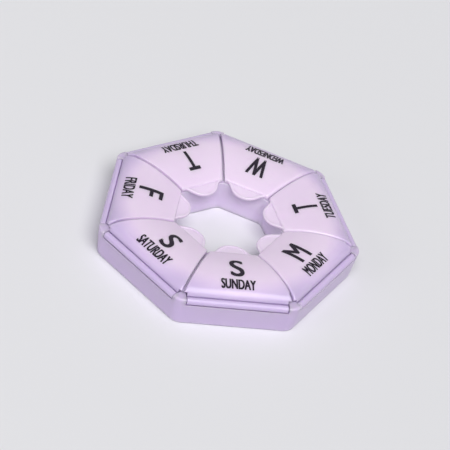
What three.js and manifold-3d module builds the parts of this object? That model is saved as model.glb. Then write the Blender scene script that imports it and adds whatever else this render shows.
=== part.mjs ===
// Weekly pill organizer: a seven-sided ring tray with an open centre and seven arched lids on snap-in hinges.
// Millimetres, +Z up. The origin is the middle of the closed part's box, on the surface that it stands on.
// Sections are drawn in two coordinates: the distance from the ring's axis to a side's flat, and the height.

import * as THREE from "three";
import { mergeVertices } from "three/addons/utils/BufferGeometryUtils.js";
import Module from "manifold-3d";

const wasm = await Module();
wasm.setup();

// Ring and outer wall
const days = ["sunday", "monday", "tuesday", "wednesday", "thursday", "friday", "saturday"];
const rimApothem = 36.5; // ring axis to the flat of the rim
const rimHeight = 10.1; // table to the top of the corner posts
const rimCornerRadius = 4;
const rimEdgeRadius = 0.7;
const outerWall = 1.3;
const outerLean = 1.1; // how far the outer wall leans in from the rim to the base

// Centre hole and inner wall
const holeApothem = 15.1; // ring axis to the flat of the hole, at the inner wall's top
const holeLean = 0.5; // how far the hole narrows down to the base
const holeCornerRadius = 2.6;
const innerWall = 1.2;

// Floor, foot and dividers
const floorThickness = 1.2;
const footHeight = 0.5; // depth of the hollow under the floor
const footWidth = 2.4; // width of the two rims that the tray stands on
const footEdgeRadius = 0.6;
const dividerThickness = 1.5;
const pocketDraft = 0.15;
const pocketFloorRadius = 1.8;
const pocketOuterRadius = 3;
const pocketInnerRadius = 1.2;
const pocketLeastRadius = 0.3; // inner corners where they meet the floor

// Lids
const lidWall = 1.1;
const crestApothem = 27;
const crestHeight = 13.2;
const lidInnerHeight = 10.8; // top of the lip at the hole
const lipThickness = 0.8;
const lipSetback = 0.2; // how far the lip stands back from the hole's edge
const lipEdgeRadius = 0.5;
const seamWidth = 0.6; // gap between neighbouring lids
const seamEdgeRadius = 0.5;

// Thumb tab
const tabThickness = 0.9;
const tabReach = 3.9; // how far the tab stands out over the hole
const tabHalfWidth = 6.2;
const tabDroop = 0.45;
const tabEdgeRadius = 0.25;
const tabShoulderWidthShare = 0.73;
const tabShoulderReachShare = 0.08;
const tabTipWidthShare = 0.67;

// Closing rim under the lid and its catch
const closingRimThickness = 0.8;
const closingRimDepth = 1.3;
const closingRimLengthShare = 0.8; // how much of the way to the hinge the rim runs
const catchWidth = 8;
const catchDepth = 1.4; // how far the catch reaches below the inner wall's top
const catchBeadRadius = 0.45;
const catchBeadProud = 0.2;
const catchBeadWidthShare = 0.8;
const catchBeadDepthShare = 0.6;

// Hinge: a barrel on the lid between two corner posts, with a pintle at each end
const barrelRadius = 1.1;
const barrelSetback = 0.1; // how far the barrel stands back from the rim's flat
const hingeDrop = 1.1; // rim's top down to the hinge axis
const hingePostThickness = 1.8; // post's face to the mitre plane, along the hinge axis
const creaseAngle = THREE.MathUtils.degToRad(130); // where the lid's outside meets the barrel
const webAngle = THREE.MathUtils.degToRad(215); // where the lid's inside meets the barrel
const pintleRadius = 0.55;
const pintleLength = 0.85;
const pintleChamfer = 0.25;
const cornerRelief = 2.4; // radius cleared round the hinge axis above the posts

// Clearances
const seatGap = 0.3; // lid to tray where a lid rests
const hingeGap = 0.3; // barrel to tray
const socketGap = 0.2; // pintle to its socket, round and at the end
const rimGap = 0.35; // closing rim to the compartment's walls
const overrun = 2; // how far a cutting shape runs past what it cuts
const fitTolerance = 0.001;

// Arch of the lid: shares of each side's span and rise where the curve's handles lie
const innerHandleShares = { startSpan: 0.27, startRise: 0.45, endSpan: 0.58 };
const outerHandleShares = { startSpan: 0.58, endSpan: 0.034, endRise: 0.68 };

// Facets
const rimSegments = 8;
const holeSegments = 5;
const pocketSegments = 4;
const filletSegments = 3;
const smallFilletSegments = 2;
const innerArchSegments = 5;
const outerArchSegments = 8;
const tabSegments = 6;
const barrelSides = 16;
const pintleSides = 12;

// Derived places
const sides = days.length;
const turn = (2 * Math.PI) / sides;
const halfTurn = turn / 2;
const slope = Math.tan(halfTurn); // half a side's length for each unit of apothem
const hingeApothem = rimApothem - barrelSetback - barrelRadius;
const hingeHeight = rimHeight - hingeDrop;
const postFace = hingeApothem * slope - hingePostThickness;
const barrelHalf = postFace - hingeGap;
const lipFace = holeApothem + lipSetback;
const lipBack = lipFace + lipThickness;
const lipBottom = lidInnerHeight - lidWall;
const ledgeHeight = lipBottom - seatGap;
const pocketFloor = footHeight + floorThickness;
const pocketInner = holeApothem + innerWall;
const pocketOuter = rimApothem - outerWall;
const onBarrel = (radius, angle) =>
  new THREE.Vector2(hingeApothem + radius * Math.cos(angle), hingeHeight + radius * Math.sin(angle));

// Closed mesh from outlines of equal point counts, stacked by a placing function and capped at both ends
function loft(drawn, place) {
  const clockwise = THREE.ShapeUtils.isClockWise(drawn[0]);
  const outlines = clockwise ? drawn.map((outline) => outline.toReversed()) : drawn;
  const count = outlines[0].length;
  const last = (outlines.length - 1) * count;
  const points = outlines.flatMap((outline, level) => outline.map((point) => place(point, level)));
  const index = [];
  for (let base = 0; base < last; base += count) {
    for (let i = 0; i < count; i += 1) {
      const here = base + i;
      const next = base + ((i + 1) % count);
      index.push(here, next, next + count, here, next + count, here + count);
    }
  }
  for (const [a, b, c] of THREE.ShapeUtils.triangulateShape(outlines[0], [])) index.push(a, c, b);
  for (const [a, b, c] of THREE.ShapeUtils.triangulateShape(outlines.at(-1), [])) {
    index.push(last + a, last + b, last + c);
  }
  return new THREE.BufferGeometry().setFromPoints(points).setIndex(index);
}

function signedVolume(position, index) {
  const corners = [new THREE.Vector3(), new THREE.Vector3(), new THREE.Vector3()];
  let volume = 0;
  for (let i = 0; i < index.length; i += 3) {
    corners.forEach((corner, k) => corner.fromArray(position, 3 * index[i + k]));
    volume += corners[0].dot(corners[1].cross(corners[2])) / 6;
  }
  return volume;
}

// Solid for joining and cutting, with its faces turned outwards
function solid(geometry) {
  const bare = geometry.clone();
  bare.deleteAttribute("normal");
  bare.deleteAttribute("uv");
  const merged = mergeVertices(bare);
  const vertProperties = new Float32Array(merged.attributes.position.array);
  const triVerts = new Uint32Array(merged.index.array);
  if (signedVolume(vertProperties, triVerts) < 0) triVerts.reverse();
  return new wasm.Manifold(new wasm.Mesh({ numProp: 3, vertProperties, triVerts }));
}

function geometryOf(manifold) {
  const { vertProperties, triVerts } = manifold.getMesh();
  const geometry = new THREE.BufferGeometry();
  geometry.setAttribute("position", new THREE.BufferAttribute(new Float32Array(vertProperties), 3));
  geometry.setIndex(new THREE.BufferAttribute(new Uint32Array(triVerts), 1));
  geometry.computeVertexNormals();
  return geometry;
}

const join = (solids) => solids.reduce((whole, piece) => whole.add(piece));

// Convex outline with each corner rounded, counter-clockwise
function roundedOutline(corners, radii, segments) {
  return corners.flatMap((corner, i) => {
    const toBefore = corners.at(i - 1).clone().sub(corner).normalize();
    const toAfter = corners[(i + 1) % corners.length].clone().sub(corner).normalize();
    const halfAngle = toBefore.angleTo(toAfter) / 2;
    const inward = toBefore.clone().add(toAfter).normalize();
    const centre = corner.clone().addScaledVector(inward, radii[i] / Math.sin(halfAngle));
    const sweep = Math.PI - 2 * halfAngle;
    const start = inward.angle() + Math.PI - sweep / 2;
    return Array.from({ length: segments + 1 }, (_, k) => {
      const angle = start + (k / segments) * sweep;
      return new THREE.Vector2(Math.cos(angle), Math.sin(angle)).multiplyScalar(radii[i]).add(centre);
    });
  });
}

// Seven-sided outline about the ring's axis, with a side square to +X
function ringOutline(apothem, radius, segments) {
  const corners = Array.from({ length: sides }, (_, i) => {
    const angle = halfTurn + i * turn;
    return new THREE.Vector2(Math.cos(angle), Math.sin(angle)).multiplyScalar(apothem / Math.cos(halfTurn));
  });
  return roundedOutline(corners, Array(sides).fill(radius), segments);
}

// Steps of a quarter-round edge: how far in and how far along from the edge's end each one lies
function edgeSteps(radius, segments = filletSegments) {
  return Array.from({ length: segments + 1 }, (_, k) => {
    const angle = (k / segments) * (Math.PI / 2);
    return { inset: radius * (1 - Math.sin(angle)), rise: radius * (1 - Math.cos(angle)) };
  });
}

const plainEdge = [{ inset: 0, rise: 0 }];

// Upright body between two heights, from an outline that may change with height and has rounded ends
function upright(outlineAt, low, high, lowEdge = plainEdge, highEdge = plainEdge) {
  const levels = lowEdge.map(({ inset, rise }) => ({ inset, height: low + rise }));
  levels.push(...highEdge.map(({ inset, rise }) => ({ inset, height: high - rise })).reverse());
  const outlines = levels.map(({ inset, height }) => outlineAt(height, inset));
  return loft(outlines, (point, level) => new THREE.Vector3(point.x, point.y, levels[level].height));
}

// Section extruded along a side, centred on the side's middle
function alongSide(section, width) {
  const options = { depth: width, bevelEnabled: false, curveSegments: barrelSides / 2 };
  return new THREE.ExtrudeGeometry(section, options).translate(0, 0, -width / 2).rotateX(Math.PI / 2);
}

// Section swept round the whole ring with mitred corners
function roundRing(section) {
  const profile = section.map((point) => new THREE.Vector2(point.x / Math.cos(halfTurn), point.y));
  const ring = new THREE.LatheGeometry([...profile, profile[0]], sides, halfTurn + Math.PI / 2);
  return ring.rotateX(Math.PI / 2);
}

// One copy of a shape for each side of the ring
const perSide = (geometry) => days.map((_, i) => solid(geometry.clone().rotateZ(i * turn)));

// Round bar on the hinge's axis, from one place along the side to another
function hingeBar(radius, from, to, barSides, endRadius = radius) {
  const bar = new THREE.CylinderGeometry(endRadius, radius, to - from, barSides);
  return bar.translate(hingeApothem, (from + to) / 2, hingeHeight);
}

const mirrored = (geometry) => geometry.clone().scale(1, -1, 1);

// Outside of the arch, from the lip's face over the crest to the barrel
function archPath() {
  const crease = onBarrel(barrelRadius, creaseAngle);
  const innerSpan = crestApothem - lipFace;
  const innerRise = crestHeight - lidInnerHeight;
  const outerSpan = crease.x - crestApothem;
  const outerRise = crestHeight - crease.y;
  const startSlope = (innerHandleShares.startRise * innerRise) / (innerHandleShares.startSpan * innerSpan);
  const path = new THREE.Path().moveTo(lipFace, lidInnerHeight - lipEdgeRadius);
  const rolledHeight = lidInnerHeight + lipEdgeRadius * startSlope;
  path.quadraticCurveTo(lipFace, lidInnerHeight, lipFace + lipEdgeRadius, rolledHeight);
  path.bezierCurveTo(
    lipFace + innerHandleShares.startSpan * innerSpan,
    lidInnerHeight + innerHandleShares.startRise * innerRise,
    lipFace + innerHandleShares.endSpan * innerSpan,
    crestHeight,
    crestApothem,
    crestHeight,
  );
  path.bezierCurveTo(
    crestApothem + outerHandleShares.startSpan * outerSpan,
    crestHeight,
    crease.x - outerHandleShares.endSpan * outerSpan,
    crease.y + outerHandleShares.endRise * outerRise,
    crease.x,
    crease.y,
  );
  return path;
}

// Points of the arch with their outward directions
function archPoints() {
  const [edge, inner, outer] = archPath().curves;
  const sampled = [
    [edge, smallFilletSegments],
    [inner, innerArchSegments],
    [outer, outerArchSegments],
  ];
  return sampled.flatMap(([curve, segments], stretch) =>
    Array.from({ length: segments + 1 }, (_, k) => k / segments)
      .slice(stretch === 0 ? 0 : 1)
      .map((t) => {
        const along = curve.getTangent(t);
        return { point: curve.getPoint(t), outward: new THREE.Vector2(-along.y, along.x) };
      }),
  );
}

const arch = archPoints();

// The arch moved inwards by a depth, without the rolled edge at the lip and where it would cross itself
function archBelow(depth) {
  const top = arch.slice(smallFilletSegments);
  const moved = top.map(({ point, outward }) => point.clone().addScaledVector(outward, -depth));
  const apart = depth - fitTolerance;
  return moved.filter((point) => top.every((place) => place.point.distanceTo(point) > apart));
}

// Height of a line of points at an apothem, level beyond its ends
function heightAt(line, apothem) {
  const after = line.findIndex((point) => point.x > apothem);
  if (after <= 0) return line.at(after).y;
  const [before, next] = line.slice(after - 1, after + 1);
  return THREE.MathUtils.mapLinear(apothem, before.x, next.x, before.y, next.y);
}

const beyond = (line, apothem) => [
  new THREE.Vector2(apothem, heightAt(line, apothem)),
  ...line.filter((point) => point.x > apothem),
];

const upTo = (line, apothem) => [
  ...line.filter((point) => point.x < apothem),
  new THREE.Vector2(apothem, heightAt(line, apothem)),
];

// Cover of one lid: the arch with its lip and hinge web, mitred at both ends with rounded seam edges
function lidCover() {
  const endAt = (side) => edgeSteps(seamEdgeRadius).map((step) => ({ ...step, side }));
  const ends = [...endAt(-1), ...endAt(1).reverse()];
  const inside = beyond(archBelow(lidWall), lipBack).reverse();
  const outlines = ends.map(({ inset }) => [
    new THREE.Vector2(lipFace + inset, lipBottom),
    ...arch.map(({ point, outward }) => point.clone().addScaledVector(outward, -inset)),
    onBarrel(0, 0),
    onBarrel(barrelRadius, webAngle),
    ...inside,
    new THREE.Vector2(lipBack, lipBottom),
  ]);
  const seamInset = seamWidth / 2 / Math.cos(halfTurn);
  return loft(outlines, (point, level) => {
    const { rise, side } = ends[level];
    return new THREE.Vector3(point.x, side * (point.x * slope - seamInset - rise), point.y);
  });
}

// Crescent tab that the thumb lifts, drawn in by the inset
function tabOutline(inset) {
  const root = lipFace + lipThickness / 2;
  const tip = lipFace - tabReach;
  const shoulder = lipFace - tabShoulderReachShare * tabReach;
  const edge = new THREE.CubicBezierCurve(
    new THREE.Vector2(lipFace, tabHalfWidth),
    new THREE.Vector2(shoulder, tabShoulderWidthShare * tabHalfWidth),
    new THREE.Vector2(tip, tabTipWidthShare * tabHalfWidth),
    new THREE.Vector2(tip, 0),
  );
  const upper = Array.from({ length: tabSegments + 1 }, (_, k) => k / tabSegments).map((t) => {
    const along = edge.getTangent(t);
    return edge.getPoint(t).addScaledVector(new THREE.Vector2(-along.y, along.x), inset);
  });
  upper.unshift(new THREE.Vector2(root, upper[0].y));
  const lower = upper.map((point) => new THREE.Vector2(point.x, -point.y));
  return [...upper, ...lower.slice(0, -1).reverse()];
}

// The tab's plate has rounded edges and droops a little towards its tip
function thumbTab() {
  const steps = edgeSteps(tabEdgeRadius, smallFilletSegments);
  const lower = steps.map(({ inset, rise }) => ({ inset, height: lipBottom + rise }));
  const upper = steps.map(({ inset, rise }) => ({ inset, height: lipBottom + tabThickness - rise }));
  const levels = [...lower, ...upper.reverse()];
  const outlines = levels.map(({ inset }) => tabOutline(inset));
  return loft(outlines, (point, level) => {
    const out = Math.max(0, lipFace - point.x) / tabReach;
    return new THREE.Vector3(point.x, point.y, levels[level].height - tabDroop * out);
  });
}

// Outline of one compartment on the +X side: wide at the rim, narrow at the hole, drawn in by the inset
function pocketOutline(height, inset) {
  const taper = pocketDraft * (1 - height / rimHeight);
  const inner = pocketInner + taper + inset;
  const outer = pocketOuter - outerLean * (1 - height / rimHeight) - inset;
  const sideInset = (dividerThickness / 2 + taper + inset) / Math.cos(halfTurn);
  const half = (apothem) => apothem * slope - sideInset;
  const corners = [
    new THREE.Vector2(inner, half(inner)),
    new THREE.Vector2(inner, -half(inner)),
    new THREE.Vector2(outer, -half(outer)),
    new THREE.Vector2(outer, half(outer)),
  ];
  const near = Math.max(pocketInnerRadius - inset, pocketLeastRadius);
  const far = pocketOuterRadius - inset;
  return roundedOutline(corners, [near, near, far, far], pocketSegments);
}

// Rim under the cover that fits inside the compartment, left open towards the hinge
function closingRim() {
  const end = lipBack + closingRimLengthShare * (hingeApothem - lipBack);
  const within = (inset) =>
    solid(upright(() => pocketOutline(rimHeight, inset), ledgeHeight - catchDepth, crestHeight));
  const frame = within(rimGap).subtract(within(rimGap + closingRimThickness));
  const top = upTo(archBelow(lidWall / 2), end);
  const bottom = upTo(beyond(archBelow(lidWall + closingRimDepth), lipBack), end);
  const band = new THREE.Shape([...top, ...bottom.reverse()]);
  return frame.intersect(solid(alongSide(band, 2 * rimApothem)));
}

// Tongue behind the inner wall, with a bead that faces the wall's groove
const catchFace = pocketInner + rimGap;
const catchBottom = ledgeHeight - catchDepth;
const beadApothem = catchFace + catchBeadRadius - catchBeadProud;
const beadHeight = ledgeHeight - catchBeadDepthShare * catchDepth;
const beadBar = (radius, width) =>
  new THREE.CylinderGeometry(radius, radius, width, pintleSides).translate(beadApothem, 0, beadHeight);

function catchTongue() {
  const top = lidInnerHeight - lidWall / 2;
  const tongue = new THREE.BoxGeometry(closingRimThickness, catchWidth, top - catchBottom);
  tongue.translate(catchFace + closingRimThickness / 2, 0, (top + catchBottom) / 2);
  const bead = beadBar(catchBeadRadius, catchBeadWidthShare * catchWidth);
  return solid(tongue).add(solid(bead));
}

// Pintle with a chamfered tip, growing out of the barrel's end
function pintle() {
  const neck = barrelHalf + pintleLength - pintleChamfer;
  const end = barrelHalf + pintleLength;
  const shank = hingeBar(pintleRadius, barrelHalf - pintleChamfer, neck, pintleSides);
  const tip = hingeBar(pintleRadius, neck, end, pintleSides, pintleRadius - pintleChamfer);
  return solid(shank).add(solid(tip));
}

function lidSolid() {
  const relief = hingeBar(cornerRelief, barrelHalf, rimApothem * slope, barrelSides);
  const cover = solid(lidCover()).subtract(solid(relief)).subtract(solid(mirrored(relief)));
  const barrel = solid(hingeBar(barrelRadius, -barrelHalf, barrelHalf, barrelSides));
  const rightPintle = pintle();
  const leftPintle = rightPintle.mirror([0, 1, 0]);
  return join([cover, barrel, rightPintle, leftPintle, solid(thumbTab()), closingRim(), catchTongue()]);
}

// Tray blank: the leaning outer body, and a crown that the dividers' arched tops are cut from
function trayBlank() {
  const lean = (height) => outerLean * (1 - height / rimHeight);
  const outlineAt = (height, inset) =>
    ringOutline(rimApothem - lean(height) - inset, rimCornerRadius - inset, rimSegments);
  const body = upright(outlineAt, 0, rimHeight, edgeSteps(footEdgeRadius), edgeSteps(rimEdgeRadius));
  const crownOuter = archBelow(lidWall + seatGap).at(-1).x - fitTolerance;
  const crownOutline = ringOutline(crownOuter, rimCornerRadius, pocketSegments);
  const crown = upright(() => crownOutline, pocketFloor, crestHeight);
  return solid(body).add(solid(crown));
}

// Everything above the dividers and the inner wall, which the closed lids fill
function lidSpace() {
  const under = beyond(archBelow(lidWall + seatGap), lipBack + seatGap);
  const inner = holeApothem - holeLean - overrun;
  const top = crestHeight + overrun;
  return roundRing([
    new THREE.Vector2(inner, ledgeHeight),
    new THREE.Vector2(lipBack + seatGap, ledgeHeight),
    ...under,
    new THREE.Vector2(under.at(-1).x, top),
    new THREE.Vector2(inner, top),
  ]);
}

function centreHole() {
  const apothemAt = (height) => holeApothem - holeLean * (1 - height / ledgeHeight);
  const outlineAt = (height) => ringOutline(apothemAt(height), holeCornerRadius, holeSegments);
  return upright(outlineAt, -overrun, crestHeight + overrun);
}

// Hollow under the floor, between the two rims that the tray stands on
function footHollow() {
  const outer = rimApothem - outerLean - footEdgeRadius - footWidth;
  const inner = holeApothem - holeLean + footWidth;
  const disc = (apothem, radius) =>
    solid(upright(() => ringOutline(apothem, radius, holeSegments), -overrun, footHeight));
  return disc(outer, rimCornerRadius - footEdgeRadius).subtract(disc(inner, holeCornerRadius));
}

function pocket() {
  return upright(pocketOutline, pocketFloor, crestHeight + overrun, edgeSteps(pocketFloorRadius));
}

// Notch between two posts that the barrel and its web lie in, with its bottom round the hinge's axis.
// Its inner face leans into the lids' space, so that the two cuts run into each other.
function hingeNotch() {
  const inner = archBelow(lidWall + seatGap).at(-1);
  const radius = barrelRadius + hingeGap;
  const outside = rimApothem + overrun;
  const section = new THREE.Shape().moveTo(inner.x - seatGap, crestHeight + overrun).lineTo(inner.x, inner.y);
  section.absarc(hingeApothem, hingeHeight, radius, webAngle, 2 * Math.PI, false);
  section.lineTo(outside, hingeHeight);
  section.lineTo(outside, crestHeight + overrun);
  return alongSide(section, 2 * postFace);
}

function traySolid() {
  const socketEnd = barrelHalf + pintleLength + socketGap;
  const socket = hingeBar(pintleRadius + socketGap, postFace - hingeGap, socketEnd, pintleSides);
  const groove = beadBar(catchBeadRadius + seatGap, catchWidth + 2 * seatGap);
  const cuts = [pocket(), hingeNotch(), socket, mirrored(socket), groove].flatMap(perSide);
  cuts.push(solid(lidSpace()), solid(centreHole()), footHollow());
  return cuts.reduce((tray, cut) => tray.subtract(cut), trayBlank());
}

// Milky polypropylene, a little clearer in the lids
const trayMaterial = new THREE.MeshStandardMaterial({ color: 0xd9cfe4, roughness: 0.32, metalness: 0 });
const lidMaterial = new THREE.MeshStandardMaterial({ color: 0xe7dbef, roughness: 0.26, metalness: 0 });

const ring = new THREE.Group();
const frontSide = -Math.PI / 2; // the first day's side faces -Y
const tray = new THREE.Mesh(geometryOf(traySolid()), trayMaterial);
tray.name = "tray";
tray.rotation.z = frontSide;
ring.add(tray);

const lidGeometry = geometryOf(lidSolid());
days.forEach((day, i) => {
  const lid = new THREE.Mesh(lidGeometry, lidMaterial.clone());
  lid.name = `lid_${day}`;
  lid.rotation.z = frontSide + i * turn;
  ring.add(lid);
});

// The rounded corner at the back reaches further from the axis than the flat at the front
const backReach = (rimApothem - rimCornerRadius) / Math.cos(halfTurn) + rimCornerRadius;
ring.position.y = (rimApothem - backReach) / 2;

const organizer = new THREE.Group();
organizer.add(ring);

export default organizer;
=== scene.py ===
"""Looks of the weekly pill organizer: a moulded tray, seven arched lids and their printed days.

Shapes are drawn in millimetres on a side that faces +X, then scaled to metres and turned to their
place. In a drawn section, x is the distance from the ring's axis and y is the height.
"""

from math import cos, pi, radians, sin, tan

import bmesh
import bpy
from mathutils import Matrix, Vector
from mathutils.geometry import interpolate_bezier


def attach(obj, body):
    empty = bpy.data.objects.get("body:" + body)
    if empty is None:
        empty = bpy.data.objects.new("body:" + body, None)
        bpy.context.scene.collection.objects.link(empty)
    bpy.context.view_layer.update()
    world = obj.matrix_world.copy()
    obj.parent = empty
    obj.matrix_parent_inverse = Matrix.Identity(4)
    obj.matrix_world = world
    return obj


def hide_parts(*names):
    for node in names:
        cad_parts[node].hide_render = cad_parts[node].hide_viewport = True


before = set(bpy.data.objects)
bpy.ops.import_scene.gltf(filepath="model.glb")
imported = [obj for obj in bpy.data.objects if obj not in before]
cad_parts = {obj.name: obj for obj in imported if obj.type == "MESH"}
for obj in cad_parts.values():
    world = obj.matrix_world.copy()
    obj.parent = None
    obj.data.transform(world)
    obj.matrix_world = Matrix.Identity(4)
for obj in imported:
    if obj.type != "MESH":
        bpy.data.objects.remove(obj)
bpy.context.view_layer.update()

MM = 0.001

# Sizes of the ring, in millimetres. An apothem is a distance from the axis, square to a side

DAYS = ["sunday", "monday", "tuesday", "wednesday", "thursday", "friday", "saturday"]
TURN = 2 * pi / len(DAYS)
HALF_TURN = TURN / 2
SLOPE = tan(HALF_TURN)  # half a side's length over its apothem
RIM_APOTHEM = 36.5
RIM_CORNER_RADIUS = 4.0
BACK_REACH = (RIM_APOTHEM - RIM_CORNER_RADIUS) / cos(HALF_TURN) + RIM_CORNER_RADIUS
RING_SHIFT = (RIM_APOTHEM - BACK_REACH) / 2  # along Y, so that the ring's box is centred
OUTER_WALL = 1.3
HOLE_APOTHEM = 15.1
INNER_WALL = 1.2
DIVIDER_THICKNESS = 1.5
POCKET_OUTER_RADIUS = 3.0
POCKET_INNER_RADIUS = 1.2
LEAST_POCKET_RADIUS = 0.3

# Sizes of the hinge

BARREL_RADIUS = 1.1
BARREL_INSET = 0.1
BARREL_HALF = 14.9
BARREL_EDGE_RADIUS = 0.15
HINGE_APOTHEM = RIM_APOTHEM - BARREL_INSET - BARREL_RADIUS
HINGE_HEIGHT = 9.0
PINTLE_RADIUS = 0.55
PINTLE_LENGTH = 0.85
PINTLE_CHAMFER = 0.25
CORNER_RELIEF = 2.4
CREASE_ANGLE = radians(130)  # where the arch meets the barrel
WEB_ANGLE = radians(215)  # where the lid's inside meets the barrel
CREASE_WIDTH = 0.3
CREASE_DEPTH = 0.5

# Sizes of the lid

LID_WALL = 1.1
INK_FILM = 0.02
CREST_APOTHEM = 27.0
CREST_HEIGHT = 13.2 - INK_FILM  # the printed letters reach the part's full height
LID_INNER_HEIGHT = 10.8
LIP_FACE = 15.3
LIP_BACK = 16.1
LIP_BOTTOM = 9.7
LIP_EDGE_RADIUS = 0.5
SEAM_WIDTH = 0.6
SEAM_EDGE_RADIUS = 0.7

TAB_THICKNESS = 0.9
TAB_REACH = 3.9
TAB_HALF_WIDTH = 6.2
TAB_DROOP = 0.45
TAB_EDGE_RADIUS = 0.25
TAB_ROOT = 0.4
TAB_RIM = 0.6
TAB_DISH = 0.2

RIM_GAP = 0.35
CLOSING_RIM_THICKNESS = 0.8
CLOSING_RIM_DEPTH = 1.3
CLOSING_RIM_END = 31.46
CLOSING_RIM_LOWEST = 6.0
CATCH_WIDTH = 8.0
CATCH_BOTTOM = 8.0
CATCH_EDGE_RADIUS = 0.2
CATCH_FACE = HOLE_APOTHEM + INNER_WALL + RIM_GAP
BEAD_RADIUS = 0.45
BEAD_SHARE = 0.8  # of the tongue's width
BEAD_SINK = 0.25
BEAD_HALF = BEAD_SHARE * CATCH_WIDTH / 2
BEAD_APOTHEM = CATCH_FACE + BEAD_SINK
BEAD_HEIGHT = 8.56

# Fineness of the curves, and the small distances used to pick and merge points

LIP_STEPS = 6
INNER_ARCH_STEPS = 26
OUTER_ARCH_STEPS = 30
TAB_STEPS = 24
POCKET_CORNER_STEPS = 6
SEAM_EDGE_STEPS = 5
TAB_EDGE_STEPS = 4
SMALL_EDGE_STEPS = 3
BARREL_SIDES = 48
PINTLE_SIDES = 24
BEAD_SIDES = 20
OVERRUN = 1.0  # how far a cutting shape runs past what it cuts
TOUCHING = 0.002  # points closer than this are at the same place
CROSSING = 0.003  # how much too near a line moved inwards may come to the arch
NEAR = 0.01  # margin when edges are picked by their place
LEVEL = 1e-6  # an edge whose ends differ less in height is level
LID_MERGE = 0.00036
FLAT_ANGLE = radians(0.5)
LID_SHARP_ANGLE = radians(40)
TRAY_SHARP_ANGLE = radians(35)


def side_place(index):
    """Brings a side drawn square to +X, in millimetres, to its place. The first day faces -Y."""
    turned = Matrix.Rotation(-pi / 2 + index * TURN, 4, "Z")
    return Matrix.Translation((0, RING_SHIFT * MM, 0)) @ turned @ Matrix.Scale(MM, 4)


# Materials

FLOW_MARK = 16.7  # length of the faint marks that the plastic's flow leaves
SKIN_GRAIN = 1.43  # drawn coarser than the mould's real skin, so that it shows
SKIN_DEPTH = 0.03
SOFT_EDGE = 0.18  # rounding of every moulded edge
GLOSSIER, DULLER = 0.02, 0.03  # how far the flow marks change the roughness
PAINTED_SHADE_START = 29.0  # distance from the ring's axis where the painted shade towards the rim starts
PAINTED_SHADE_END = 36.5
FILM_GRAIN = 0.67  # drawn coarser than a pad's real print, so that it shows
FIRST_TINT, SECOND_TINT, MIXED_TINT = 6, 7, 2  # the Mix node's colour sockets, whose names repeat


def colour(code):
    """sRGB hex colour as linear red, green, blue and alpha."""
    shares = [int(code[i : i + 2], 16) / 255 for i in (0, 2, 4)]
    linear = [c / 12.92 if c <= 0.04045 else ((c + 0.055) / 1.055) ** 2.4 for c in shares]
    return (*linear, 1.0)


def new_material(name):
    material = bpy.data.materials.new(name)
    material.use_nodes = True
    material.node_tree.nodes.clear()
    return material


def add_node(owner, kind, sockets, **settings):
    """Adds a node with its settings. Each socket takes a value or another node's output."""
    made = owner.node_tree.nodes.new(kind)
    for name, value in settings.items():
        setattr(made, name, value)
    for name, value in sockets.items():
        if isinstance(value, bpy.types.NodeSocket):
            owner.node_tree.links.new(value, made.inputs[name])
        else:
            made.inputs[name].default_value = value
    return made


def moulded_polypropylene(name, pale, deep, rim, roughness, depth):
    """Milky polypropylene: light goes a little way in, under a soft skin with faint flow marks.

    The colour is painted deeper towards the ring's rim: painted shade where the lids' shoulders
    and the walls turn down.
    """
    material = new_material(name)
    place = add_node(material, "ShaderNodeTexCoord", {}).outputs["Object"]
    level = add_node(
        material, "ShaderNodeVectorMath", {0: place, 1: (1, 1, 0)}, operation="MULTIPLY"
    )
    reach = add_node(
        material,
        "ShaderNodeVectorMath",
        {0: level.outputs["Vector"], 1: (0, RING_SHIFT * MM, 0)},
        operation="DISTANCE",
    )
    # Painted shade: share of the darker rim colour, from none towards the hole to full at the rim
    outwards = add_node(
        material,
        "ShaderNodeMapRange",
        {
            "Value": reach.outputs["Value"],
            "From Min": PAINTED_SHADE_START * MM,
            "From Max": PAINTED_SHADE_END * MM,
        },
        interpolation_type="SMOOTHSTEP",
    )
    flow = add_node(
        material,
        "ShaderNodeTexNoise",
        {"Vector": place, "Scale": 1 / (FLOW_MARK * MM), "Detail": 1.0},
    )
    skin = add_node(
        material,
        "ShaderNodeTexNoise",
        {"Vector": place, "Scale": 1 / (SKIN_GRAIN * MM), "Detail": 1.0},
    )
    rounded = add_node(material, "ShaderNodeBevel", {"Radius": SOFT_EDGE * MM}, samples=6)
    bump = add_node(
        material,
        "ShaderNodeBump",
        {
            "Height": skin.outputs["Fac"],
            "Strength": 0.05,
            "Distance": SKIN_DEPTH * MM,
            "Normal": rounded.outputs["Normal"],
        },
    )
    gloss = add_node(
        material,
        "ShaderNodeMapRange",
        {
            "Value": flow.outputs["Fac"],
            "To Min": roughness - GLOSSIER,
            "To Max": roughness + DULLER,
        },
    )
    body = add_node(
        material,
        "ShaderNodeMix",
        {"Factor": flow.outputs["Fac"], FIRST_TINT: colour(deep), SECOND_TINT: colour(pale)},
        data_type="RGBA",
    )
    # Painted shade: the darker rim colour is mixed in towards the ring's rim
    tone = add_node(
        material,
        "ShaderNodeMix",
        {
            "Factor": outwards.outputs["Result"],
            FIRST_TINT: body.outputs[MIXED_TINT],
            SECOND_TINT: colour(rim),
        },
        data_type="RGBA",
    )
    shader = add_node(
        material,
        "ShaderNodeBsdfPrincipled",
        {
            "Base Color": tone.outputs[MIXED_TINT],
            "Roughness": gloss.outputs["Result"],
            "IOR": 1.49,
            "Normal": bump.outputs["Normal"],
            "Subsurface Weight": 0.9,
            "Subsurface Radius": (1.0, 0.86, 1.0),
            "Subsurface Scale": depth * MM,
        },
    )
    add_node(material, "ShaderNodeOutputMaterial", {"Surface": shader.outputs["BSDF"]})
    return material


# Milky tray, a touch deeper in tone and duller than the lids, so that the lids stand out; the
# deeper tone is painted shade on its walls, and so is its rim colour
tray_plastic = moulded_polypropylene(
    "milky_polypropylene_tray",
    pale="E3D3F1",
    deep="DCCAEB",
    rim="CBB9DD",
    roughness=0.31,
    depth=3.0,
)
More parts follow.
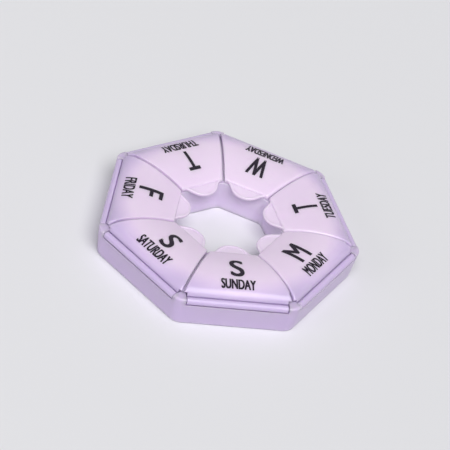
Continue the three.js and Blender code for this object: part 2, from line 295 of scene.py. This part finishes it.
# Milky lids, glossier and paler, so that their arches and seam edges catch light in soft bands;
# their rim colour is painted shade on the outer shoulders
lid_plastic = moulded_polypropylene(
    "milky_polypropylene_lid",
    pale="F0DAFB",
    deep="EBD4F7",
    rim="C9B8DC",
    roughness=0.22,
    depth=1.9,
)


def print_ink():
    """Pad-printed ink: a matt, nearly black film with a purple cast and a slightly uneven tone."""
    material = new_material("pad_print_ink")
    place = add_node(material, "ShaderNodeTexCoord", {}).outputs["Object"]
    film = add_node(
        material,
        "ShaderNodeTexNoise",
        {"Vector": place, "Scale": 1 / (FILM_GRAIN * MM), "Detail": 2.0},
    )
    tone = add_node(
        material,
        "ShaderNodeMix",
        {
            "Factor": film.outputs["Fac"],
            FIRST_TINT: colour("180F1F"),
            SECOND_TINT: colour("221829"),
        },
        data_type="RGBA",
    )
    shader = add_node(
        material,
        "ShaderNodeBsdfPrincipled",
        {"Base Color": tone.outputs[MIXED_TINT], "Roughness": 0.6, "Specular IOR Level": 0.3},
    )
    add_node(material, "ShaderNodeOutputMaterial", {"Surface": shader.outputs["BSDF"]})
    return material


day_ink = print_ink()


# Shaping helpers


def new_object(name, data):
    made = bpy.data.objects.new(name, data)
    bpy.context.collection.objects.link(made)
    return made


def mesh_of(bm, name="shape"):
    mesh = bpy.data.meshes.new(name)
    bmesh.ops.recalc_face_normals(bm, faces=bm.faces)
    bm.to_mesh(mesh)
    bm.free()
    return mesh


def flat_face(points):
    """New bmesh with one face through the points."""
    bm = bmesh.new()
    face = bm.faces.new([bm.verts.new(point) for point in points])
    return bm, face


def moved_verts(pulled):
    return [v for v in pulled["geom"] if isinstance(v, bmesh.types.BMVert)]


def pull(bm, face, along):
    """Pulls a face into a closed body."""
    pulled = bmesh.ops.extrude_face_region(bm, geom=[face])
    bmesh.ops.translate(bm, verts=moved_verts(pulled), vec=along)
    bmesh.ops.recalc_face_normals(bm, faces=bm.faces)


def round_off(bm, geom, radius, segments, affect="EDGES"):
    bmesh.ops.bevel(
        bm,
        geom=geom,
        offset=radius,
        segments=segments,
        profile=0.5,
        affect=affect,
        material=-1,
    )


def level_edges(bm):
    return [e for e in bm.edges if abs(e.verts[0].co.z - e.verts[1].co.z) < LEVEL]


def combine(base, tool, operation, solver="EXACT"):
    """Mesh of one shape joined with, cut by or kept within another."""
    first, second = new_object("first", base), new_object("second", tool)
    cut = first.modifiers.new("cut", "BOOLEAN")
    cut.operation = operation
    cut.solver = solver
    cut.object = second
    seen = first.evaluated_get(bpy.context.evaluated_depsgraph_get())
    shaped = bpy.data.meshes.new_from_object(seen)
    bpy.data.objects.remove(first)
    bpy.data.objects.remove(second)
    return shaped


def shade(mesh, merge_distance, sharp_angle, flat_angle=None):
    """Merges doubled points, joins flat neighbours if asked to, and smooths up to an angle."""
    bm = bmesh.new()
    bm.from_mesh(mesh)
    bmesh.ops.remove_doubles(bm, verts=bm.verts, dist=merge_distance)
    if flat_angle is not None:
        bmesh.ops.dissolve_limit(bm, angle_limit=flat_angle, verts=bm.verts, edges=bm.edges)
    bmesh.ops.recalc_face_normals(bm, faces=bm.faces)
    bm.to_mesh(mesh)
    bm.free()
    mesh.shade_smooth()
    mesh.set_sharp_from_angle(angle=sharp_angle)


def weight_normals(piece):
    """Flat faces keep their flat shading next to narrow rounded edges."""
    weighted = piece.modifiers.new("flat_faces_stay_flat", "WEIGHTED_NORMAL")
    weighted.keep_sharp = True
    weighted.weight = 80


def finish_piece(piece, material, slot, body, *nodes):
    """Dresses a piece, ties it to its body and lets it stand for its CAD nodes."""
    piece.data.materials.clear()
    piece.data.materials.append(material)
    if nodes:
        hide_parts(*nodes)
    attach(piece, body)


# Arch of the lid: two curves that meet level at the crest

# Places of the curves' handles, as shares of each curve's span and rise
LIP_HANDLE_OUT = 0.27
LIP_HANDLE_UP = 0.45
CREST_HANDLE = 0.58
CREASE_HANDLE_IN = 0.034
CREASE_HANDLE_UP = 0.68
CORNER_HANDLE = 2 / 3


def on_barrel(radius, angle):
    return Vector((HINGE_APOTHEM + radius * cos(angle), HINGE_HEIGHT + radius * sin(angle)))


def curve_points(knots, steps):
    """Points of a curve after its first one, from one end, two handles and the other end."""
    in_space = [Vector(knot).to_3d() for knot in knots]
    return [p.to_2d() for p in interpolate_bezier(*in_space, steps + 1)][1:]


def arch_line():
    """Outside of the lid's section, from the lip over the crest to the crease at the barrel."""
    crease = on_barrel(BARREL_RADIUS, CREASE_ANGLE)
    crest = Vector((CREST_APOTHEM, CREST_HEIGHT))
    inner_span, inner_rise = CREST_APOTHEM - LIP_FACE, CREST_HEIGHT - LID_INNER_HEIGHT
    outer_span, outer_rise = crease.x - CREST_APOTHEM, CREST_HEIGHT - crease.y
    start = Vector((LIP_FACE, LID_INNER_HEIGHT - LIP_EDGE_RADIUS))
    corner = Vector((LIP_FACE, LID_INNER_HEIGHT))
    slope = (LIP_HANDLE_UP * inner_rise) / (LIP_HANDLE_OUT * inner_span)
    rolled = Vector((LIP_FACE + LIP_EDGE_RADIUS, LID_INNER_HEIGHT + LIP_EDGE_RADIUS * slope))
    roll = (
        start,
        start.lerp(corner, CORNER_HANDLE),
        rolled.lerp(corner, CORNER_HANDLE),
        rolled,
    )
    inner = (
        rolled,
        corner + Vector((LIP_HANDLE_OUT * inner_span, LIP_HANDLE_UP * inner_rise)),
        Vector((LIP_FACE + CREST_HANDLE * inner_span, CREST_HEIGHT)),
        crest,
    )
    outer = (
        crest,
        Vector((CREST_APOTHEM + CREST_HANDLE * outer_span, CREST_HEIGHT)),
        crease + Vector((-CREASE_HANDLE_IN * outer_span, CREASE_HANDLE_UP * outer_rise)),
        crease,
    )
    return [
        start,
        *curve_points(roll, LIP_STEPS),
        *curve_points(inner, INNER_ARCH_STEPS),
        *curve_points(outer, OUTER_ARCH_STEPS),
    ]


ARCH = arch_line()


def arch_below(depth):
    """The arch moved inwards, without its rolled edge and without the points that would cross."""
    top = ARCH[LIP_STEPS:]
    moved = []
    for before, here, after in zip(top, top[1:], top[2:]):
        along = (after - before).normalized()
        point = here + Vector((along.y, -along.x)) * depth
        if all((place - point).length > depth - CROSSING for place in top):
            moved.append(point)
    return moved


def height_on(line, apothem):
    """Height of a line of points at an apothem."""
    for before, after in zip(line, line[1:]):
        if before.x <= apothem <= after.x:
            return before.y + (after.y - before.y) * (apothem - before.x) / (after.x - before.x)
    return line[0].y if apothem < line[0].x else line[-1].y


def is_on_arch(vert):
    flat = Vector((vert.co.x, vert.co.z))
    return any((flat - place).length < TOUCHING for place in ARCH[1:])


# Parts of the lid


def side_body(section, half_width):
    """Closed body from a drawn section, run along the side."""
    bm, face = flat_face([Vector((p.x, -half_width, p.y)) for p in section])
    pull(bm, face, Vector((0, 2 * half_width, 0)))
    return bm


def lid_cover():
    """The arch with its lip and hinge web, mitred at both ends and with rounded seam edges."""
    inside = [p for p in arch_below(LID_WALL) if p.x > LIP_BACK]
    section = [
        Vector((LIP_FACE, LIP_BOTTOM)),
        *ARCH,
        on_barrel(0, 0),
        on_barrel(BARREL_RADIUS, WEB_ANGLE),
        *reversed(inside),
        Vector((LIP_BACK, height_on(inside, LIP_BACK))),
        Vector((LIP_BACK, LIP_BOTTOM)),
    ]
    bm = side_body(section, RIM_APOTHEM * SLOPE + OVERRUN)
    for end in (-1, 1):
        outwards = Vector((-sin(HALF_TURN), end * cos(HALF_TURN), 0))
        mitre = bmesh.ops.bisect_plane(
            bm,
            geom=[*bm.verts, *bm.edges, *bm.faces],
            plane_co=-outwards * SEAM_WIDTH / 2,
            plane_no=outwards,
            clear_outer=True,
        )
        rim = [e for e in mitre["geom_cut"] if isinstance(e, bmesh.types.BMEdge)]
        bmesh.ops.edgeloop_fill(bm, edges=rim)
        bmesh.ops.recalc_face_normals(bm, faces=bm.faces)
        outside = [e for e in rim if e.is_valid and all(is_on_arch(v) for v in e.verts)]
        round_off(bm, outside, SEAM_EDGE_RADIUS, SEAM_EDGE_STEPS)
    return mesh_of(bm, "cover")


def bar(radius, start, end, sides, edge_radius=0.0):
    """Round bar along the hinge's axis, its end edges rounded."""
    bm = bmesh.new()
    bmesh.ops.create_cone(
        bm, cap_ends=True, segments=sides, radius1=radius, radius2=radius, depth=end - start
    )
    if edge_radius:
        round_off(bm, level_edges(bm), edge_radius, SMALL_EDGE_STEPS)
    middle = Matrix.Translation((HINGE_APOTHEM, (start + end) / 2, HINGE_HEIGHT))
    bmesh.ops.transform(bm, matrix=middle @ Matrix.Rotation(-pi / 2, 4, "X"), verts=bm.verts)
    return mesh_of(bm, "bar")


# Handles of the thumb tab's outline, as shares of its reach and half width
TAB_SHOULDER_OUT = 0.08
TAB_SHOULDER_WIDTH = 0.73
TAB_TIP_WIDTH = 0.67


def crescent(half_width, reach, low, high):
    """Plate of the thumb tab's outline, with its root inside the lip."""
    tip = LIP_FACE - reach
    knots = (
        (LIP_FACE, half_width),
        (LIP_FACE - TAB_SHOULDER_OUT * reach, TAB_SHOULDER_WIDTH * half_width),
        (tip, TAB_TIP_WIDTH * half_width),
        (tip, 0),
    )
    upper = [
        Vector((LIP_FACE + TAB_ROOT, half_width)),
        Vector(knots[0]),
        *curve_points(knots, TAB_STEPS),
    ]
    lower = [Vector((p.x, -p.y)) for p in reversed(upper[:-1])]
    bm, face = flat_face([Vector((p.x, p.y, low)) for p in [*upper, *lower]])
    pull(bm, face, Vector((0, 0, high - low)))
    return bm


def thumb_tab():
    """Crescent plate that droops to its tip, with a rounded edge and a shallow dish on top."""
    top = LIP_BOTTOM + TAB_THICKNESS
    bm = crescent(TAB_HALF_WIDTH, TAB_REACH, LIP_BOTTOM, top)
    edges = [e for e in level_edges(bm) if min(v.co.x for v in e.verts) < LIP_FACE - NEAR]
    round_off(bm, edges, TAB_EDGE_RADIUS, TAB_EDGE_STEPS)
    plate = mesh_of(bm, "plate")
    hollow = crescent(
        TAB_HALF_WIDTH - 2 * TAB_RIM, TAB_REACH - TAB_RIM, top - TAB_DISH, top + OVERRUN
    )
    tab = combine(plate, mesh_of(hollow, "dish"), "DIFFERENCE")
    for v in tab.vertices:
        v.co.z -= TAB_DROOP * max(0, LIP_FACE - v.co.x) / TAB_REACH
    return tab


def pocket_block(inset, low, high):
    """Upright block of a compartment's outline, drawn in by the inset, with rounded corners."""
    inner = HOLE_APOTHEM + INNER_WALL + inset
    outer = RIM_APOTHEM - OUTER_WALL - inset
    side_inset = (DIVIDER_THICKNESS / 2 + inset) / cos(HALF_TURN)

    def half(apothem):
        return apothem * SLOPE - side_inset

    corners = [
        (inner, half(inner)),
        (inner, -half(inner)),
        (outer, -half(outer)),
        (outer, half(outer)),
    ]
    bm, _ = flat_face([(x, y, low) for x, y in corners])
    for apothem, radius in (
        (inner, max(POCKET_INNER_RADIUS - inset, LEAST_POCKET_RADIUS)),
        (outer, POCKET_OUTER_RADIUS - inset),
    ):
        verts = [v for v in bm.verts if abs(v.co.x - apothem) < TOUCHING]
        verts = [v for v in verts if abs(abs(v.co.y) - half(apothem)) < TOUCHING]
        round_off(bm, verts, radius, POCKET_CORNER_STEPS, "VERTICES")
    pull(bm, bm.faces[:][0], Vector((0, 0, high - low)))
    return mesh_of(bm, "block")


def closing_rim():
    """Rim under the cover that fits inside the compartment, open towards the hinge."""
    outer = pocket_block(RIM_GAP, CLOSING_RIM_LOWEST, CREST_HEIGHT)
    inner = pocket_block(
        RIM_GAP + CLOSING_RIM_THICKNESS, CLOSING_RIM_LOWEST - OVERRUN, CREST_HEIGHT + OVERRUN
    )
    wall = combine(outer, inner, "DIFFERENCE")
    lines = []
    for depth in (LID_WALL / 2, LID_WALL + CLOSING_RIM_DEPTH):
        line = [p for p in arch_below(depth) if LIP_BACK < p.x < CLOSING_RIM_END]
        lines.append([*line, Vector((CLOSING_RIM_END, height_on(line, CLOSING_RIM_END)))])
    top, bottom = lines
    band = mesh_of(side_body([*top, *reversed(bottom)], 2 * RIM_APOTHEM), "band")
    return combine(wall, band, "INTERSECT")


def catch_tongue():
    """Tongue behind the inner wall with its bead."""
    bm = bmesh.new()
    top = LID_INNER_HEIGHT - LID_WALL / 2
    size = (CLOSING_RIM_THICKNESS, CATCH_WIDTH, top - CATCH_BOTTOM, 1)
    middle = (CATCH_FACE + CLOSING_RIM_THICKNESS / 2, 0, (top + CATCH_BOTTOM) / 2)
    bmesh.ops.create_cube(bm, size=1, matrix=Matrix.Translation(middle) @ Matrix.Diagonal(size))
    low = [e for e in bm.edges if all(v.co.z < CATCH_BOTTOM + NEAR for v in e.verts)]
    round_off(bm, low, CATCH_EDGE_RADIUS, SMALL_EDGE_STEPS)
    tongue = mesh_of(bm, "tongue")
    bead = bar(BEAD_RADIUS, -BEAD_HALF, BEAD_HALF, BEAD_SIDES, BARREL_EDGE_RADIUS)
    bead.transform(
        Matrix.Translation((BEAD_APOTHEM - HINGE_APOTHEM, 0, BEAD_HEIGHT - HINGE_HEIGHT))
    )
    return combine(tongue, bead, "UNION")


def crease_groove():
    """Narrow cutter along the crease between arch and barrel, for a fine dark line there."""
    crease = on_barrel(BARREL_RADIUS, CREASE_ANGLE)
    along = (ARCH[-1] - ARCH[-2]).normalized()
    outwards = Vector((-along.y, along.x)) + Vector((cos(CREASE_ANGLE), sin(CREASE_ANGLE)))
    tilt = Matrix.Rotation(pi / 2 - outwards.angle_signed(Vector((1, 0))), 4, "Y")
    size = Matrix.Diagonal((CREASE_WIDTH, 2 * RIM_APOTHEM, 2 * CREASE_DEPTH, 1))
    bm = bmesh.new()
    place = Matrix.Translation((crease.x, 0, crease.y)) @ tilt @ size
    bmesh.ops.create_cube(bm, size=1, matrix=place)
    return mesh_of(bm, "groove")


def lid_shape():
    """One whole lid."""
    shape = lid_cover()
    reach = RIM_APOTHEM * SLOPE
    for start, end in ((BARREL_HALF, reach), (-reach, -BARREL_HALF)):
        shape = combine(shape, bar(CORNER_RELIEF, start, end, BARREL_SIDES), "DIFFERENCE")
    barrel = bar(BARREL_RADIUS, -BARREL_HALF, BARREL_HALF, BARREL_SIDES, BARREL_EDGE_RADIUS)
    shape = combine(shape, barrel, "UNION")
    tip = BARREL_HALF + PINTLE_LENGTH
    pintles = bar(PINTLE_RADIUS, -tip, tip, PINTLE_SIDES, PINTLE_CHAMFER)
    shape = combine(shape, pintles, "UNION")
    shape = combine(shape, crease_groove(), "DIFFERENCE")
    for part in (thumb_tab(), closing_rim(), catch_tongue()):
        shape = combine(shape, part, "UNION")
    return shape


# Lids

lid_mesh = lid_shape()
shade(lid_mesh, LID_MERGE, LID_SHARP_ANGLE)

for index, day in enumerate(DAYS):
    mesh = lid_mesh.copy()
    mesh.transform(side_place(index))
    lid = new_object(f"{day}_lid", mesh)
    weight_normals(lid)
    finish_piece(lid, lid_plastic, "lid_plastic", f"{day}_lid_body", f"lid_{day}")

# Tray

tray_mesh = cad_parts["tray"].data.copy()
shade(tray_mesh, TOUCHING * MM, TRAY_SHARP_ANGLE, FLAT_ANGLE)
tray = new_object("moulded_tray", tray_mesh)
weight_normals(tray)
finish_piece(tray, tray_plastic, "tray_plastic", "tray_body", "tray")

# Printed days: a big letter towards the hole and the name under it, read from outside the ring

LETTER_MIDDLE = 24.0
LETTER_HEIGHT = 7.5
LETTER_WIDTHS = {"S": 4.2, "M": 5.3, "T": 3.8, "W": 5.6, "F": 3.5}
LETTER_BOLDNESS = 0.2
WORD_MIDDLE = 30.6
WORD_HEIGHT = 3.4
WORD_BOLDNESS = 0.12
WORD_WIDTHS = {
    "sunday": 10.3,
    "monday": 10.4,
    "tuesday": 10.8,
    "wednesday": 12.2,
    "thursday": 12.0,
    "friday": 9.4,
    "saturday": 12.6,
}
LETTER_CURVE_STEPS = 6
LETTER_MERGE_SHARE = 0.05  # of the boldness
DRAWN_FILM = 1.0  # the print is drawn this thick, then laid on the arch as a thin film


def flat_text(words, height, width, boldness):
    """Condensed lettering about its own middle, thickened by joining shifted copies."""
    font = bpy.data.curves.new("words", "FONT")
    font.body = words
    font.resolution_u = LETTER_CURVE_STEPS
    letters = new_object("words", font)
    bpy.context.view_layer.update()
    seen = letters.evaluated_get(bpy.context.evaluated_depsgraph_get())
    mesh = bpy.data.meshes.new_from_object(seen)
    bpy.data.objects.remove(letters)
    low = Vector([min(v.co[axis] for v in mesh.vertices) for axis in range(3)])
    high = Vector([max(v.co[axis] for v in mesh.vertices) for axis in range(3)])
    spread = Vector((boldness, boldness / 2))
    scale = (
        (width - 2 * spread.x) / (high.x - low.x),
        (height - 2 * spread.y) / (high.y - low.y),
        1,
        1,
    )
    mesh.transform(Matrix.Diagonal(scale) @ Matrix.Translation(-(low + high) / 2))
    bm = bmesh.new()
    bm.from_mesh(mesh)
    bmesh.ops.remove_doubles(bm, verts=bm.verts, dist=boldness * LETTER_MERGE_SHARE)
    bmesh.ops.dissolve_limit(bm, angle_limit=FLAT_ANGLE, verts=bm.verts, edges=bm.edges)
    pulled = bmesh.ops.extrude_face_region(bm, geom=bm.faces[:], use_keep_orig=True)
    bmesh.ops.translate(bm, verts=moved_verts(pulled), vec=(0, 0, DRAWN_FILM))
    film = mesh_of(bm)
    copies = []
    for across in (-spread.x, spread.x):
        for up in (-spread.y, spread.y):
            copies.append(film.copy())
            copies[-1].transform(Matrix.Translation((across, up, 0)))
    joined = copies[0]
    for copy in copies[1:]:
        joined = combine(joined, copy, "UNION", "MANIFOLD")
    return joined


def day_print(day):
    """The letter and the name of one day, laid on the arch as a thin film of ink."""
    bm = bmesh.new()
    letter = day[0].upper()
    for words, middle, height, width, boldness in (
        (letter, LETTER_MIDDLE, LETTER_HEIGHT, LETTER_WIDTHS[letter], LETTER_BOLDNESS),
        (day.upper(), WORD_MIDDLE, WORD_HEIGHT, WORD_WIDTHS[day], WORD_BOLDNESS),
    ):
        mesh = flat_text(words, height, width, boldness)
        mesh.transform(Matrix.Translation((middle, 0, 0)) @ Matrix.Rotation(pi / 2, 4, "Z"))
        bm.from_mesh(mesh)
    low, high = min(v.co.x for v in bm.verts), max(v.co.x for v in bm.verts)
    for place in ARCH:
        if low < place.x < high:
            geom = [*bm.verts, *bm.edges, *bm.faces]
            bmesh.ops.bisect_plane(bm, geom=geom, plane_co=(place.x, 0, 0), plane_no=(1, 0, 0))
    for v in bm.verts:
        over = INK_FILM if v.co.z > DRAWN_FILM / 2 else -INK_FILM
        v.co.z = height_on(ARCH, v.co.x) + over
    return mesh_of(bm, f"{day}_print")


for index, day in enumerate(DAYS):
    mesh = day_print(day)
    mesh.transform(side_place(index))
    lettering = new_object(f"{day}_print", mesh)
    finish_piece(lettering, day_ink, "day_print", f"{day}_lid_body")

# Floor

FLOOR_HALF = 3.0

bm = bmesh.new()
bmesh.ops.create_grid(bm, x_segments=1, y_segments=1, size=FLOOR_HALF)
floor = new_object("floor", mesh_of(bm, "floor"))
# Pale matt paper, which keeps the object's shadow soft and plain
paper = new_material("pale_paper")
paper_shader = add_node(
    paper, "ShaderNodeBsdfPrincipled", {"Base Color": colour("E1E1E4"), "Roughness": 0.9}
)
add_node(paper, "ShaderNodeOutputMaterial", {"Surface": paper_shader.outputs["BSDF"]})
floor.data.materials.append(paper)

# Light: a wide soft lamp from the front and above, and a dim softbox from the front left


def away_from_part(azimuth, elevation):
    """Direction from the part. Azimuth 0 looks to -Y and 90 to +X."""
    a, e = radians(azimuth), radians(elevation)
    return Vector((sin(a) * cos(e), -cos(a) * cos(e), sin(e)))


def add_lamp(name, kind, energy, azimuth, elevation, distance):
    """Lamp aimed at the part."""
    data = bpy.data.lights.new(name, kind)
    data.energy = energy
    lamp = new_object(name, data)
    away = away_from_part(azimuth, elevation)
    lamp.location = away * distance
    lamp.rotation_euler = away.to_track_quat("Z", "Y").to_euler()
    return data


overhead = add_lamp(
    "wide_soft_overhead", "SUN", energy=2.78, azimuth=2, elevation=58, distance=1.0
)
overhead.angle = radians(46)
side = add_lamp("softbox_side", "AREA", energy=0.6, azimuth=-60, elevation=30, distance=0.8)
side.size = 0.3

# The camera and reflections see a pale backdrop, and the part is lit by a dimmer one
world = bpy.data.worlds.new("studio")
bpy.context.scene.world = world
world.use_nodes = True
backdrop = world.node_tree.nodes["Background"]
backdrop.inputs["Color"].default_value = colour("F4F4F6")
path = add_node(world, "ShaderNodeLightPath", {})
showing = path.outputs["Is Camera Ray"]
for ray in ("Is Glossy Ray", "Is Transmission Ray"):
    either = add_node(
        world, "ShaderNodeMath", {0: showing, 1: path.outputs[ray]}, operation="MAXIMUM"
    )
    showing = either.outputs["Value"]
strength = add_node(
    world, "ShaderNodeMapRange", {"Value": showing, "To Min": 0.2, "To Max": 0.8}
)
world.node_tree.links.new(strength.outputs["Result"], backdrop.inputs["Strength"])

# Camera at the photograph's viewing angle

CAMERA_AZIMUTH = -14.7
CAMERA_ELEVATION = 41.0
CAMERA_ROLL = radians(15.0)
CAMERA_DISTANCE = 0.9
TARGET_HEIGHT = 6.0
RING_SHARE = 0.6  # the ring's width over the picture's
SENSOR = 36.0

back = away_from_part(CAMERA_AZIMUTH, CAMERA_ELEVATION)
right = Vector((cos(radians(CAMERA_AZIMUTH)), sin(radians(CAMERA_AZIMUTH)), 0))
up = back.cross(right)
turned_right = cos(CAMERA_ROLL) * right + sin(CAMERA_ROLL) * up
turned_up = cos(CAMERA_ROLL) * up - sin(CAMERA_ROLL) * right
facing = Matrix((turned_right, turned_up, back)).transposed().to_4x4()

camera_data = bpy.data.cameras.new("camera")
camera_data.sensor_width = SENSOR
camera_data.lens = SENSOR * CAMERA_DISTANCE * RING_SHARE / (2 * BACK_REACH * MM)
camera_data.clip_start = 0.01
camera_data.clip_end = 20
camera = new_object("camera", camera_data)
target = Vector((0, 0, TARGET_HEIGHT * MM))
camera.matrix_world = Matrix.Translation(target + back * CAMERA_DISTANCE) @ facing
bpy.context.scene.camera = camera
bpy.context.scene.view_settings.view_transform = "Standard"
